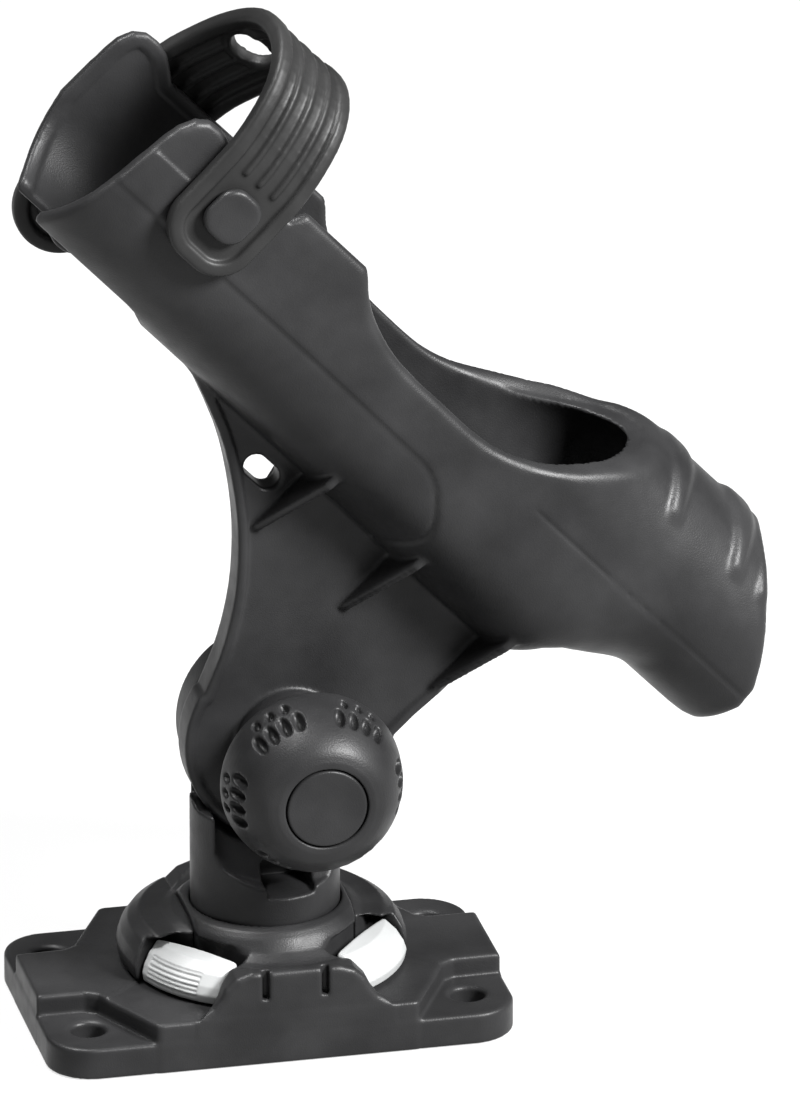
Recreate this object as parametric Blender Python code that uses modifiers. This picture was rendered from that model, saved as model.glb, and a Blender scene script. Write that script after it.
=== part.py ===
"""Rod holder on a quick-release deck base.

Metres, +Z up. The origin is the centre of the base's underside. +X points towards the nose
of the holder and -Y towards the clamp knob. The holder itself is modelled in its own frame:
+X runs down the rod tube from mouth to nose, +Z points out of the tube's open side, and the
empty holder_frame tilts that frame into place.
"""

import math

import bmesh
import bpy
from mathutils import Matrix, Vector

MM = 0.001
# Turns a section drawn in (x, y) and extruded along z into one in (y, z), extruded along x.
AXES_TO_SIDE = Matrix(((0, 0, 1, 0), (1, 0, 0, 0), (0, 1, 0, 0), (0, 0, 0, 1)))
GAP = 0.3 * MM  # clearance left between touching pieces

# Base plate
PLATE_HALF_X = 61.5 * MM
PLATE_HALF_Y = 38.0 * MM
PLATE_CORNER = 12.0 * MM
PLATE_MIDDLE_X = -2.0 * MM  # the plate is not quite centred under the post
PAD_TOP = 8.4 * MM
DECK_TOP = 14.0 * MM
HOLE_X = 50.0 * MM
HOLE_Y = 24.4 * MM
HOLE_RADIUS = 4.4 * MM
BRIDGE_HALF_X = 21.0 * MM
BRIDGE_TOP = 26.0 * MM

# Turning parts inside the base
BORE_RADIUS = 19.2 * MM
NECK_BORE_RADIUS = 19.75 * MM
NECK_BORE_FLOOR = 26.2 * MM
FLANGE_RADIUS = 21.4 * MM
FLANGE_HEIGHT = 2.0 * MM
SOCKET_RADIUS = 18.9 * MM
SPIGOT_FLAT = 14.8 * MM  # centre to flat of the eight-sided spigot
COVER_RADIUS = 28.0 * MM
COVER_THICKNESS = 3.0 * MM
COVER_SCREW_CIRCLE = 24.8 * MM

# Release buttons, on both sides of the front
BUTTON_AZIMUTH = math.radians(50.0)  # from -Y
BUTTON_HALF_WIDTH = 14.2 * MM
BUTTON_RADIUS = 36.8 * MM
BUTTON_INNER = 27.0 * MM
BUTTON_TRAVEL = 3.0 * MM
BUTTON_SPRING_Z = 19.5 * MM
SIDE_COVER_X = 21.4 * MM

# Post and pivot
POST_RADIUS = 19.4 * MM
POST_FOOT = 26.6 * MM
PIVOT_X = 5.7 * MM
PIVOT_Z = 75.0 * MM
EAR_RADIUS = 25.6 * MM
EAR_FRONT = 6.8 * MM
EAR_BACK = 17.0 * MM
TOOTH_COUNT = 36
TOOTH_INNER = 14.5 * MM
TOOTH_OUTER = 24.0 * MM
TOOTH_HEIGHT = 1.3 * MM
BOLT_BORE = 4.3 * MM

# Holder: rod tube, web and pegs
PITCH = math.radians(46.5)  # nose down
TUBE_X = -23.7 * MM
TUBE_Z = 221.35 * MM
TUBE_RADIUS = 27.0 * MM
TUBE_INNER_RADIUS = 23.5 * MM
NOSE_AXIS = 20.5 * MM  # height of the nose tube's axis over the channel's axis
MOUTH = -33.0 * MM
WEB_HALF = 5.0 * MM
WEB_END_RADIUS = 27.5 * MM
BOSS_RADIUS = 18.5 * MM
BOSS_FRONT = 13.0 * MM
GUSSETS = (76.6 * MM, 111.5 * MM, 144.7 * MM)  # along the tube
NEAR_PEG = (1.5 * MM, 12.7 * MM)  # (along, up)
FAR_PEG = (-10.7 * MM, -20.6 * MM)

# Strap
STRAP_HALF_WIDTH = 13.5 * MM
STRAP_THICKNESS = 3.0 * MM
STRAP_SIDE = 29.2 * MM  # distance of the band's middle surface from the tube's middle plane
STRAP_CROWN = 54.0 * MM


def clear_scene():
    for old in list(bpy.data.objects):
        bpy.data.objects.remove(old, do_unlink=True)


def new_collection(name):
    collection = bpy.data.collections.new(name)
    bpy.context.scene.collection.children.link(collection)
    return collection


def make_material(name, color, roughness, metallic=0.0):
    material = bpy.data.materials.new(name)
    material.use_nodes = True
    shader = material.node_tree.nodes["Principled BSDF"]
    shader.inputs["Base Color"].default_value = (*color, 1.0)
    shader.inputs["Roughness"].default_value = roughness
    shader.inputs["Metallic"].default_value = metallic
    return material


def add_object(name, mesh, collection, material=None):
    obj = bpy.data.objects.new(name, mesh)
    collection.objects.link(obj)
    if material:
        mesh.materials.append(material)
    if collection is CUTTERS:
        obj.hide_render = True
        obj.display_type = "WIRE"
    return obj


def shade(obj, degrees=35):
    obj.data.shade_smooth()
    obj.data.set_sharp_from_angle(angle=math.radians(degrees))


def place(obj, parent=None, location=(0, 0, 0), rotation=(0, 0, 0)):
    obj.parent = parent
    obj.location = location
    obj.rotation_euler = rotation
    return obj


def add_curve(name, curve, collection):
    obj = bpy.data.objects.new(name, curve)
    collection.objects.link(obj)
    return obj


def baked(obj):
    """The object with its modifiers or its curve turned into a plain welded mesh."""
    bpy.context.view_layer.update()
    graph = bpy.context.evaluated_depsgraph_get()
    mesh = bpy.data.meshes.new_from_object(obj.evaluated_get(graph))
    shape = bmesh.new()
    shape.from_mesh(mesh)
    bmesh.ops.remove_doubles(shape, verts=shape.verts, dist=1e-6)
    shape.to_mesh(mesh)
    shape.free()
    name, matrix, parent = obj.name, obj.matrix_local.copy(), obj.parent
    collection = obj.users_collection[0]
    bpy.data.objects.remove(obj, do_unlink=True)
    solid = add_object(name, mesh, collection)
    solid.parent = parent
    solid.matrix_local = matrix
    return solid


def turned(name, profile, collection, material=None, steps=48):
    """A solid turned about +Z from (radius, height) points that run from top to bottom."""
    mesh = bpy.data.meshes.new(name)
    points = [(radius, 0.0, height) for radius, height in profile]
    mesh.from_pydata(points, [(i, i + 1) for i in range(len(points) - 1)], [])
    obj = add_object(name, mesh, collection)
    screw = obj.modifiers.new("turn", "SCREW")
    screw.steps = steps
    screw.render_steps = steps
    screw.use_merge_vertices = True
    screw.merge_threshold = 0.00001
    obj = baked(obj)
    if material:
        obj.data.materials.append(material)
    shade(obj)
    return obj


def prism(name, outline, low, high, collection, material=None):
    """A flat outline of (x, y) points, extruded along z from low to high."""
    curve = bpy.data.curves.new(name, "CURVE")
    curve.dimensions = "2D"
    curve.fill_mode = "BOTH"
    curve.extrude = (high - low) / 2
    spline = curve.splines.new("POLY")
    spline.points.add(len(outline) - 1)
    for point, (x, y) in zip(spline.points, outline):
        point.co = (x, y, 0.0, 1.0)
    spline.use_cyclic_u = True
    obj = baked(add_curve(name, curve, collection))
    obj.data.transform(Matrix.Translation((0, 0, (high + low) / 2)))
    if material:
        obj.data.materials.append(material)
    return obj


def side_prism(name, outline, half_width, collection):
    """An outline of (x, z) points extruded along Y, half_width to each side."""
    obj = prism(name, outline, -half_width, half_width, collection)
    obj.data.transform(Matrix.Rotation(math.pi / 2, 4, "X"))
    return obj


def box(name, low, high, collection, material=None):
    mesh = bpy.data.meshes.new(name)
    shape = bmesh.new()
    bmesh.ops.create_cube(shape, size=1.0)
    size = Vector(high) - Vector(low)
    middle = (Vector(high) + Vector(low)) / 2
    bmesh.ops.scale(shape, vec=size, verts=shape.verts)
    bmesh.ops.translate(shape, vec=middle, verts=shape.verts)
    shape.to_mesh(mesh)
    shape.free()
    return add_object(name, mesh, collection, material)


def rod(name, radius, low, high, collection, material=None, sides=32, turn=0.0):
    """A cylinder or a regular prism about +Z."""
    mesh = bpy.data.meshes.new(name)
    shape = bmesh.new()
    bmesh.ops.create_cone(
        shape, cap_ends=True, segments=sides, radius1=radius, radius2=radius, depth=high - low
    )
    bmesh.ops.rotate(shape, matrix=Matrix.Rotation(turn, 3, "Z"), verts=shape.verts)
    bmesh.ops.translate(shape, vec=(0, 0, (high + low) / 2), verts=shape.verts)
    shape.to_mesh(mesh)
    shape.free()
    obj = add_object(name, mesh, collection, material)
    shade(obj)
    return obj


def combine(target, other, operation):
    modifier = target.modifiers.new(other.name, "BOOLEAN")
    modifier.operation = operation
    modifier.object = other
    modifier.solver = "EXACT"


def cut(target, *others):
    for other in others:
        combine(target, other, "DIFFERENCE")


def join(target, *others):
    for other in others:
        combine(target, other, "UNION")


def arc(centre, radius, start, end, steps):
    """Points on an arc, angles in degrees."""
    points = []
    for i in range(steps + 1):
        angle = math.radians(start + (end - start) * i / steps)
        points.append((centre[0] + radius * math.cos(angle), centre[1] + radius * math.sin(angle)))
    return points


def mm_points(points):
    return [(a * MM, b * MM) for a, b in points]


def rounded_box_outline(half_x, half_y, corner, steps=6):
    outline = []
    for sign_x, sign_y, start in ((1, 1, 0), (-1, 1, 90), (-1, -1, 180), (1, -1, 270)):
        centre = (sign_x * (half_x - corner), sign_y * (half_y - corner))
        outline += arc(centre, corner, start, start + 90, steps)
    return outline


def smooth_line(points, steps=4):
    """A Catmull-Rom curve through the points, which are kept."""
    padded = [points[0], *points, points[-1]]
    line = []
    for a, b, c, d in zip(padded, padded[1:], padded[2:], padded[3:]):
        for i in range(steps):
            t = i / steps
            line.append(
                tuple(
                    0.5 * (2 * q + (r - p) * t + (2 * p - 5 * q + 4 * r - s) * t**2
                           + (3 * q - p - 3 * r + s) * t**3)
                    for p, q, r, s in zip(a, b, c, d)
                )
            )
    return line + [points[-1]]


def along_minus_y(obj, frame):
    """Lays a piece that was turned about +Z on the pivot axis, with its +Z towards -Y."""
    return place(obj, frame, (0, 0, 0), (math.pi / 2, 0, 0))


def coil(name, radius, wire, length, turns, material, points_per_turn=9):
    """A helical spring about +Z, from z = wire radius to z = length - wire radius."""
    curve = bpy.data.curves.new(name, "CURVE")
    curve.dimensions = "3D"
    curve.bevel_depth = wire
    curve.bevel_resolution = 1
    curve.use_fill_caps = True
    spline = curve.splines.new("POLY")
    count = turns * points_per_turn
    spline.points.add(count)
    for i, point in enumerate(spline.points):
        angle = 2 * math.pi * i / points_per_turn
        height = wire + (length - 2 * wire) * i / count
        point.co = (radius * math.cos(angle), radius * math.sin(angle), height, 1.0)
    obj = baked(add_curve(name, curve, PARTS))
    obj.data.materials.append(material)
    shade(obj)
    return obj


# ---------------------------------------------------------------- base


def deck_outline():
    """Plan of the raised deck: side arms between the pads and wide front and back arms."""
    quarter = mm_points([(61.5, 14.0), (48.5, 14.2), (45.5, 16.0), (43.6, 19.6), (34.2, 38.0)])
    top_left = [(-x, y) for x, y in reversed(quarter)]
    bottom = [(-x, -y) for x, y in quarter]
    bottom_right = [(x, -y) for x, y in reversed(quarter)]
    return quarter + top_left + bottom + bottom_right


def bridge_outline():
    """Front view of the raised bridge: rounded shoulders that flare out onto the deck."""
    half = BRIDGE_HALF_X
    return (
        [(half, 1 * MM), (half, 18 * MM)]
        + arc((half - 7 * MM, BRIDGE_TOP - 7 * MM), 7 * MM, 10, 90, 6)
        + arc((-half + 7 * MM, BRIDGE_TOP - 7 * MM), 7 * MM, 90, 170, 6)
        + [(-half, 18 * MM), (-half, 1 * MM)]
    )


def button_frame(side):
    """An empty at the base's middle whose +X points out through a button."""
    frame = bpy.data.objects.new("button_frame_" + side, None)
    PARTS.objects.link(frame)
    turn = BUTTON_AZIMUTH if side == "right" else -BUTTON_AZIMUTH
    frame.rotation_euler = (0, 0, turn - math.pi / 2)
    return frame


def button_window(side, frame):
    """The space that a button and its travel need, cut from the bridge and the side cover."""
    name = "button_window_" + side
    window = rod(name, BUTTON_RADIUS + 0.5 * MM, DECK_TOP - 0.1 * MM, 45 * MM, CUTTERS, sides=64)
    half = BUTTON_HALF_WIDTH + 0.4 * MM
    inner = BUTTON_INNER - BUTTON_TRAVEL - 0.4 * MM
    bounds = box(
        name + "_bounds", (inner, -half, 0), (60 * MM, half, 60 * MM), CUTTERS
    )
    place(window, frame)
    place(bounds, frame)
    combine(window, bounds, "INTERSECT")
    return window


def make_base_plate(windows):
    plate = prism(
        "base_plate",
        rounded_box_outline(PLATE_HALF_X, PLATE_HALF_Y, PLATE_CORNER),
        0.0,
        PAD_TOP,
        PARTS,
        BLACK,
    )
    deck = prism("deck", deck_outline(), 1 * MM, DECK_TOP, CUTTERS)
    for body in (plate, deck):
        body.data.transform(Matrix.Translation((PLATE_MIDDLE_X, 0, 0)))
    bridge = side_prism("bridge", bridge_outline(), PLATE_HALF_Y, CUTTERS)
    neck = turned(
        "neck",
        mm_points([(0, 30.4), (21.2, 30.4), (23.2, 29.2), (26, 25.6), (29, 24), (29, 10), (0, 10)]),
        CUTTERS,
        steps=48,
    )
    middle_band = box(
        "middle_band", (-BRIDGE_HALF_X, -50 * MM, 0), (BRIDGE_HALF_X, 50 * MM, 50 * MM), CUTTERS
    )
    combine(neck, middle_band, "INTERSECT")
    dip = mm_points([(-33.2, 27), (-31, 24.6), (-27, 23.4), (27, 23.4), (31, 24.6), (33.2, 27)])
    valley = prism("valley", dip, -22 * MM, 22 * MM, CUTTERS)
    valley.data.transform(AXES_TO_SIDE)
    cut(bridge, valley)
    bores = turned(
        "base_bores",
        [
            (0, 40 * MM),
            (NECK_BORE_RADIUS, 40 * MM),
            (NECK_BORE_RADIUS, NECK_BORE_FLOOR),
            (BORE_RADIUS, NECK_BORE_FLOOR),
            (BORE_RADIUS, COVER_THICKNESS + FLANGE_HEIGHT + 3 * GAP),
            (FLANGE_RADIUS + GAP, COVER_THICKNESS + FLANGE_HEIGHT + 3 * GAP),
            (FLANGE_RADIUS + GAP, COVER_THICKNESS + GAP),
            (COVER_RADIUS + GAP, COVER_THICKNESS + GAP),
            (COVER_RADIUS + GAP, -1 * MM),
            (0, -1 * MM),
        ],
        CUTTERS,
        steps=48,
    )
    join(plate, deck, bridge, neck)
    cut(plate, bores, *windows)
    for i, (sign_x, sign_y) in enumerate(((-1, -1), (1, -1), (1, 1), (-1, 1))):
        hole = rod(f"mounting_hole_{i}", HOLE_RADIUS, -1 * MM, 12 * MM, CUTTERS, sides=24)
        place(hole, None, (sign_x * HOLE_X + PLATE_MIDDLE_X, sign_y * HOLE_Y, 0))
        cut(plate, hole)
    for i, x in enumerate((-8.0 * MM, 8.0 * MM)):
        notch = box(
            f"notch_{i}",
            (x - 0.8 * MM, -39 * MM, 18.5 * MM),
            (x + 0.8 * MM, -36.6 * MM, 30 * MM),
            CUTTERS,
        )
        cut(plate, notch)
    for i in range(4):
        cut(plate, screw_shape(f"screw_hole_{i}", i, CUTTERS, GAP))
    shade(plate)


def screw_place(i):
    angle = math.radians(45 + 90 * i)
    return (COVER_SCREW_CIRCLE * math.cos(angle), COVER_SCREW_CIRCLE * math.sin(angle), 0)


def screw_shape(name, i, collection, extra=0.0, material=None):
    """A countersunk screw, head down; extra makes it fatter and longer for its hole."""
    profile = [
        (0, 9.5 * MM + extra),
        (1.5 * MM + extra, 9.5 * MM + extra),
        (1.5 * MM + extra, 1.9 * MM),
        (2.4 * MM + extra, 1.0 * MM - extra / 2),
        (2.4 * MM + extra, 0.4 * MM - 4 * extra),
        (0, 0.4 * MM - 4 * extra),
    ]
    screw = turned(name, profile, collection, material, steps=16)
    return place(screw, None, screw_place(i))


def make_base_cover():
    cover = rod("base_cover", COVER_RADIUS, 0.0, COVER_THICKNESS, PARTS, BLACK, sides=48)
    for i in range(4):
        cut(cover, screw_shape(f"cover_screw_hole_{i}", i, CUTTERS, GAP))
        screw = screw_shape(f"cover_screw_{i + 1}", i, PARTS, 0.0, STEEL)
        slot = box(
            f"drive_slot_{i}", (-0.4 * MM, -3 * MM, -1 * MM), (0.4 * MM, 3 * MM, 0.9 * MM), CUTTERS
        )
        place(slot, None, screw_place(i))
        cut(screw, slot)


def make_swivel_socket():
    """The ring that turns in the base and takes the eight-sided spigot."""
    low = COVER_THICKNESS + GAP + 0.1 * MM
    socket = turned(
        "swivel_socket",
        [
            (0, 25.9 * MM),
            (SOCKET_RADIUS, 25.9 * MM),
            (SOCKET_RADIUS, low + FLANGE_HEIGHT),
            (FLANGE_RADIUS, low + FLANGE_HEIGHT),
            (FLANGE_RADIUS, low),
            (0, low),
        ],
        PARTS,
        BLACK,
        steps=48,
    )
    corner = (SPIGOT_FLAT + GAP) / math.cos(math.pi / 8)
    hollow = rod("spigot_hollow", corner, 0, 40 * MM, CUTTERS, sides=8, turn=math.pi / 8)
    cut(socket, hollow)


def cover_profile():
    return mm_points(
        [
            (0, 28.2), (23.5, 28.4), (28, 28.2), (31.6, 27.2), (34.6, 25.2), (36.6, 22.4),
            (37.6, 19.4), (37.5, 17.2), (36.4, 14.3), (0, 14.3),
        ]
    )


def make_side_cover(side, window):
    sign = 1 if side == "right" else -1
    cover = turned("side_cover_" + side, cover_profile(), PARTS, BLACK, steps=64)
    inner = sign * SIDE_COVER_X
    far = sign * 50 * MM
    half = box(
        "half_space_" + side,
        (min(inner, far), -45 * MM, 0),
        (max(inner, far), 45 * MM, 45 * MM),
        CUTTERS,
    )
    combine(cover, half, "INTERSECT")
    cut(cover, window)


def make_button(side, frame):
    """A squeeze button: outer face on the cover's outline, sloping top, spring hole inside."""
    button = turned(
        "release_button_" + side,
        mm_points(
            [(0, 25.2), (26.5, 25.2), (30.5, 23.9), (33.8, 21.9), (36.0, 19.2), (36.8, 16.8),
             (36.4, 14.6), (0, 14.6)]
        ),
        PARTS,
        GREY,
        steps=64,
    )
    place(button, frame)
    bounds = box(
        "button_bounds_" + side,
        (BUTTON_INNER, -BUTTON_HALF_WIDTH, 0),
        (60 * MM, BUTTON_HALF_WIDTH, 60 * MM),
        CUTTERS,
    )
    place(bounds, frame)
    combine(button, bounds, "INTERSECT")
    spring_hole = rod("spring_hole_" + side, 3.2 * MM, 20 * MM, 32 * MM, CUTTERS, sides=16)
    place(spring_hole, frame, (0, 0, BUTTON_SPRING_Z), (0, math.pi / 2, 0))
    cut(button, spring_hole)
    spring = coil("button_spring_" + side, 2.3 * MM, 0.4 * MM, 7.6 * MM, 4, STEEL)
    place(spring, frame, (24.0 * MM, 0, BUTTON_SPRING_Z), (0, math.pi / 2, 0))


# ---------------------------------------------------------------- post and pivot


def tooth_ring(name, root, crest):
    """A ring of radial ratchet teeth about +Z, from its root plane to its crests."""
    mesh = bpy.data.meshes.new(name)
    shape = bmesh.new()
    rings = []
    count = 2 * TOOTH_COUNT
    corners = ((TOOTH_INNER, root), (TOOTH_OUTER, root), (TOOTH_OUTER, None), (TOOTH_INNER, None))
    for radius, height in corners:
        ring = []
        for i in range(count):
            angle = 2 * math.pi * i / count
            z = height
            if height is None:
                z = crest if i % 2 else crest - math.copysign(TOOTH_HEIGHT, crest - root)
            ring.append(shape.verts.new((radius * math.cos(angle), radius * math.sin(angle), z)))
        rings.append(ring)
    for a, b in zip(rings, rings[1:] + rings[:1]):
        for i in range(count):
            j = (i + 1) % count
            shape.faces.new((a[i], a[j], b[j], b[i]))
    bmesh.ops.triangulate(shape, faces=shape.faces)
    bmesh.ops.recalc_face_normals(shape, faces=shape.faces)
    shape.to_mesh(mesh)
    shape.free()
    return add_object(name, mesh, CUTTERS)


def make_post(pivot):
    post = rod("post", POST_RADIUS, POST_FOOT, PIVOT_Z, PARTS, BLACK, sides=48)
    ear = rod("ear", EAR_RADIUS, -EAR_BACK, -EAR_FRONT, CUTTERS, sides=48)
    along_minus_y(ear, pivot)
    scoop = turned(
        "scoop",
        [
            (0, 30 * MM), (36.5 * MM, 30 * MM), (36.0 * MM, 13 * MM),
            (29.5 * MM, 7 * MM), (28.8 * MM, -EAR_FRONT - 0.4 * MM), (0, -EAR_FRONT - 0.4 * MM),
        ],
        CUTTERS,
        steps=48,
    )
    along_minus_y(scoop, pivot)
    behind_ear = box(
        "behind_ear", (-30 * MM, EAR_BACK - 0.4 * MM, 52 * MM), (30 * MM, 30 * MM, 110 * MM), CUTTERS
    )
    cut(post, scoop, behind_ear)
    join(post, ear)
    corner = SPIGOT_FLAT / math.cos(math.pi / 8)
    spigot = rod("spigot", corner, 4.4 * MM, 28 * MM, CUTTERS, sides=8, turn=math.pi / 8)
    lock_groove = turned(
        "lock_groove",
        mm_points([(30, 12.5), (30, 9.0), (12.6, 9.0), (12.6, 12.5), (30, 12.5)]),
        CUTTERS,
        steps=32,
    )
    cut(spigot, lock_groove)
    join(post, spigot)
    ring_groove = turned(
        "seal_groove",
        mm_points([(30, 29.2), (30, 27.4), (18.0, 27.4), (18.0, 29.2), (30, 29.2)]),
        CUTTERS,
        steps=48,
    )
    window = box("post_window", (-3.5 * MM, -25 * MM, 37.5 * MM), (9.5 * MM, -3 * MM, 44 * MM), CUTTERS)
    bolt_bore = rod("ear_bore", BOLT_BORE, -30 * MM, 10 * MM, CUTTERS, sides=24)
    spring_seat = rod("ear_spring_seat", 9.0 * MM, -10.4 * MM, 0, CUTTERS, sides=32)
    along_minus_y(bolt_bore, pivot)
    along_minus_y(spring_seat, pivot)
    teeth = along_minus_y(tooth_ring("ear_teeth", -7.6 * MM, -5.3 * MM), pivot)
    join(post, teeth)
    cut(post, ring_groove, window, bolt_bore, spring_seat)
    shade(post)


def make_seal():
    bpy.ops.mesh.primitive_torus_add(
        major_radius=18.95 * MM,
        minor_radius=0.65 * MM,
        major_segments=32,
        minor_segments=6,
        location=(0, 0, 28.3 * MM),
    )
    seal = bpy.context.active_object
    seal.name = "post_seal"
    for collection in list(seal.users_collection):
        collection.objects.unlink(seal)
    PARTS.objects.link(seal)
    seal.data.materials.append(RUBBER)
    shade(seal)


def make_pivot_hardware(pivot):
    """Bolt, washers, separating spring and nut, all about the pivot axis."""
    bolt = turned(
        "pivot_bolt",
        mm_points(
            [(0, 45.0), (3.3, 45.0), (3.9, 44.2), (3.9, -18.9), (8.5, -18.9), (8.0, -21.0),
             (6.0, -22.6), (3.0, -23.4), (0, -23.6)]
        ),
        PARTS,
        STEEL,
        steps=32,
    )
    along_minus_y(bolt, pivot)
    for name, low, high, outer in (
        ("bolt_washer", -18.6, -17.3, 9.5),
        ("knob_washer", 13.3, 14.7, 9.5),
    ):
        washer = rod(name, outer * MM, low * MM, high * MM, PARTS, STEEL, sides=32)
        hole = rod(name + "_hole", BOLT_BORE, -60 * MM, 60 * MM, CUTTERS, sides=24)
        cut(along_minus_y(washer, pivot), along_minus_y(hole, pivot))
    spring = coil("separating_spring", 7.2 * MM, 0.7 * MM, 9.6 * MM, 3, STEEL, 12)
    spring.data.transform(Matrix.Translation((0, 0, -10.1 * MM)))
    along_minus_y(spring, pivot)
    nut = rod("knob_nut", 7.2 * MM, 37.3 * MM, 43.8 * MM, PARTS, BRASS, sides=6)
    nut_hole = rod("knob_nut_hole", BOLT_BORE, 30 * MM, 50 * MM, CUTTERS, sides=24)
    cut(along_minus_y(nut, pivot), along_minus_y(nut_hole, pivot))


def make_knob(pivot):
    knob = turned(
        "knob",
        mm_points(
            [(0, 49.5), (13.2, 49.0), (17.2, 46.2), (20.4, 42.0), (22.6, 36.6), (23.7, 30.6),
             (23.4, 27.6), (21.6, 26.2), (19.0, 27.4), (12.5, 27.4), (11.6, 15.0), (0, 15.0)]
        ),
        PARTS,
        BLACK,
        steps=40,
    )
    along_minus_y(knob, pivot)
    recess = turned(
        "knob_recess",
        mm_points([(0, 60), (10.7, 60), (10.7, 46.0), (0, 46.0)]),
        CUTTERS,
        steps=48,
    )
    nut_pocket = rod("nut_pocket", 7.6 * MM, 37.0 * MM, 47 * MM, CUTTERS, sides=6)
    bore = rod("knob_bore", BOLT_BORE, 10 * MM, 40 * MM, CUTTERS, sides=24)
    for cutter in (recess, nut_pocket, bore):
        along_minus_y(cutter, pivot)
        cut(knob, cutter)
    cap = turned(
        "knob_cap",
        mm_points([(0, 49.6), (9.8, 49.4), (10.4, 48.8), (10.4, 46.3), (0, 46.3)]),
        PARTS,
        BLACK,
        steps=32,
    )
    along_minus_y(cap, pivot)


# ---------------------------------------------------------------- holder


def side_outline():
    """Side view of the tube, (along, up): bottom edge, slanted nose end, saddle and mouth."""
    bottom = [(-33, -30), (157, -30), (157, -27), (160.5, -22), (165, -12.5), (171, -7.4), (176, -6.6)]
    nose = [(202, -6.4), (203.5, -4.5), (202, 4), (197, 18), (190, 31), (183, 40.5), (178.5, 45.5)]
    crest = [(174, 48.2), (152, 48.6), (146, 48.4)]
    saddle = smooth_line(
        [(140, 42.2), (131, 35.4), (122, 28.8), (112, 22.0), (102, 17.2), (90, 14.3), (76, 13.5),
         (62, 14.8), (52, 17.6), (44, 20.4)],
        3,
    )
    walls = [(40.5, 21.4), (38.6, 26.0), (37, 26.8), (15, 26.8), (13, 22.2), (-16, 22.2), (-17.6, 26)]
    tab = [(-19, 27.2), (-30, 27.2), (-32.4, 25.6), (-33, 22)]
    return mm_points(bottom + nose + crest + saddle + walls + tab)


def stadium(half_width, low_centre, high_centre, steps):
    """Cross-section (across, up) with round bottom and round top."""
    return arc((0, low_centre), half_width, 180, 360, steps) + arc((0, high_centre), half_width, 0, 180, steps)


def tube_solid(name, outline, start, end):
    """A section of (across, up) points extruded along the tube from start to end."""
    solid = prism(name, outline, start, end, CUTTERS)
    solid.data.transform(AXES_TO_SIDE)
    return solid


def web_outline():
    """Side view of the web in base coordinates: concave left edge, round foot, right edge."""
    left = smooth_line(
        [(-21.0, 181.0), (-13.5, 162.5), (-10.2, 148.4), (-8.7, 134.4), (-9.2, 120.6), (-11.0, 109.6),
         (-13.6, 99.8), (-17.6, 89.6)],
        2,
    )
    foot = arc((PIVOT_X / MM, PIVOT_Z / MM), WEB_END_RADIUS / MM, 148, 362, 26)
    right = [(38.5, 79.8), (43.5, 83.0), (53.5, 87.2), (66, 93.5), (64.0, 104.0)]
    return mm_points([(-14.0, 192.0)] + left + foot + right)


def tube_body(holder):
    """The outside of the rod tube: a long round-ended section trimmed to the side view."""
    body = tube_solid("tube_blank", stadium(TUBE_RADIUS, 0.0, NOSE_AXIS, 20), MOUTH - 1 * MM, 206 * MM)
    side_view = side_prism("side_view", side_outline(), 32 * MM, CUTTERS)
    nose_round = tube_solid(
        "nose_round", stadium(TUBE_RADIUS, NOSE_AXIS, NOSE_AXIS, 20), 150 * MM, 210 * MM
    )
    behind_nose = box("behind_nose", (-40 * MM, -40 * MM, -40 * MM), (161 * MM, 40 * MM, 80 * MM), CUTTERS)
    for shape in (body, side_view, nose_round, behind_nose):
        place(shape, holder)
    join(nose_round, behind_nose)
    combine(body, side_view, "INTERSECT")
    combine(body, nose_round, "INTERSECT")
    return body


def gusset_section():
    """Cross-section of a rib: wide against the tube, tapering to the web's faces."""
    right = [(4.0, -46.0), (7.5, -42.0), (20.2, -23.6), (21.5, -12.0), (0.0, -12.0)]
    left = [(-y, z) for y, z in reversed(right[:-1])]
    return mm_points(right + left)


def peg(name, along, up, wall, side, holder):
    """A strap peg: a stem from the wall at distance wall, with an oblong head outside the strap."""
    stem = rod(name + "_stem", 4.6 * MM, wall, STRAP_SIDE + 3 * MM, CUTTERS, sides=24)
    head = prism(
        name + "_head",
        rounded_box_outline(6.6 * MM, 7.2 * MM, 6.0 * MM),
        STRAP_SIDE + STRAP_THICKNESS / 2 + GAP,
        STRAP_SIDE + STRAP_THICKNESS / 2 + 3.6 * MM,
        CUTTERS,
    )
    for shape in (stem, head):
        place(shape, holder, (along, 0, up), (side * math.pi / 2, 0, 0))
    return stem, head


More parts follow.
